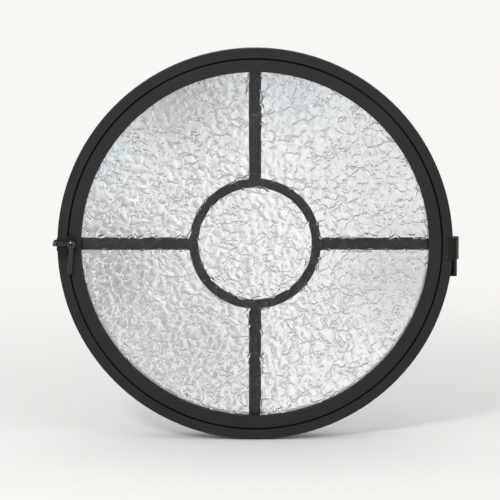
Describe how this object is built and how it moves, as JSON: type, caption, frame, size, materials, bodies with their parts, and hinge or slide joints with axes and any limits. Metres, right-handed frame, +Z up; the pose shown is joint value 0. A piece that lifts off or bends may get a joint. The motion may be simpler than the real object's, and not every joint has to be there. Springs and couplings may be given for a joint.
{
  "type": "round aluminium window",
  "caption": "Round inward-opening aluminium window with textured double glazing, an internal cross-and-ring bar grille, a side hinge and a lever latch.",
  "frame": {"origin": "centre of the ring on the wall face, in the plane of the flange's back", "axes": "+X to the hinge side as seen from the room, +Y into the wall, +Z up"},
  "size_m": [0.822, 0.0929, 0.8],
  "materials": {
    "dark_coat": "dark grey fine-textured powder coat, satin",
    "bar_coat": "dark grey smooth coat, satin",
    "gasket_rubber": "black extruded rubber, matt",
    "textured_glass": "rolled privacy glass with a hammered, worm-like relief on its room side",
    "clear_glass": "clear float glass, polished",
    "spacer_alloy": "plain roll-formed strip",
    "edge_sealant": "black sealant, matt",
    "dark_steel": "blackened steel, slightly worn",
    "black_plastic": "black moulded plastic, matt"
  },
  "bodies": {
    "frame": {"wall_frame": "dark_coat", "front_frame_gasket": "gasket_rubber", "rear_frame_gasket": "gasket_rubber", "hinge_bracket": "dark_coat", "hinge_bracket_screws": "dark_steel", "hinge_pin": "dark_steel", "hinge_washer": "dark_steel", "keeper_bracket": "dark_coat", "keeper_stud": "dark_steel", "keeper_screws": "dark_steel"},
    "sash": {"sash_ring": "dark_coat", "glazing_bead": "dark_coat", "bead_gasket": "gasket_rubber", "rear_glass_gasket": "gasket_rubber", "front_pane": "textured_glass", "rear_pane": "clear_glass", "spacer_ring": "spacer_alloy", "edge_sealant": "edge_sealant", "bar_top": "bar_coat", "bar_left": "bar_coat", "bar_bottom": "bar_coat", "bar_right": "bar_coat", "bar_ring": "bar_coat", "bar_plugs": "black_plastic", "setting_blocks": "black_plastic", "hinge_leaf": "dark_coat", "hinge_leaf_screws": "dark_steel", "hinge_cap": "black_plastic", "latch_base": "dark_coat", "latch_base_screws": "dark_steel", "wear_plate": "dark_coat", "wear_plate_screws": "dark_steel", "latch_pivot": "dark_steel", "thrust_washer": "black_plastic"},
    "handle": {"latch_lever": "dark_coat"}
  },
  "joints": [
    {"name": "sash_swing", "type": "hinge", "parent": "frame", "child": "sash", "pos_m": [0.4045, -0.019, 0], "axis": [0, 0, 1], "range_deg": [0, 105]},
    {"name": "latch_turn", "type": "hinge", "parent": "sash", "child": "handle", "pos_m": [-0.371, 0, 0.004], "axis": [0, -1, 0], "range_deg": [0, 90]}
  ]
}
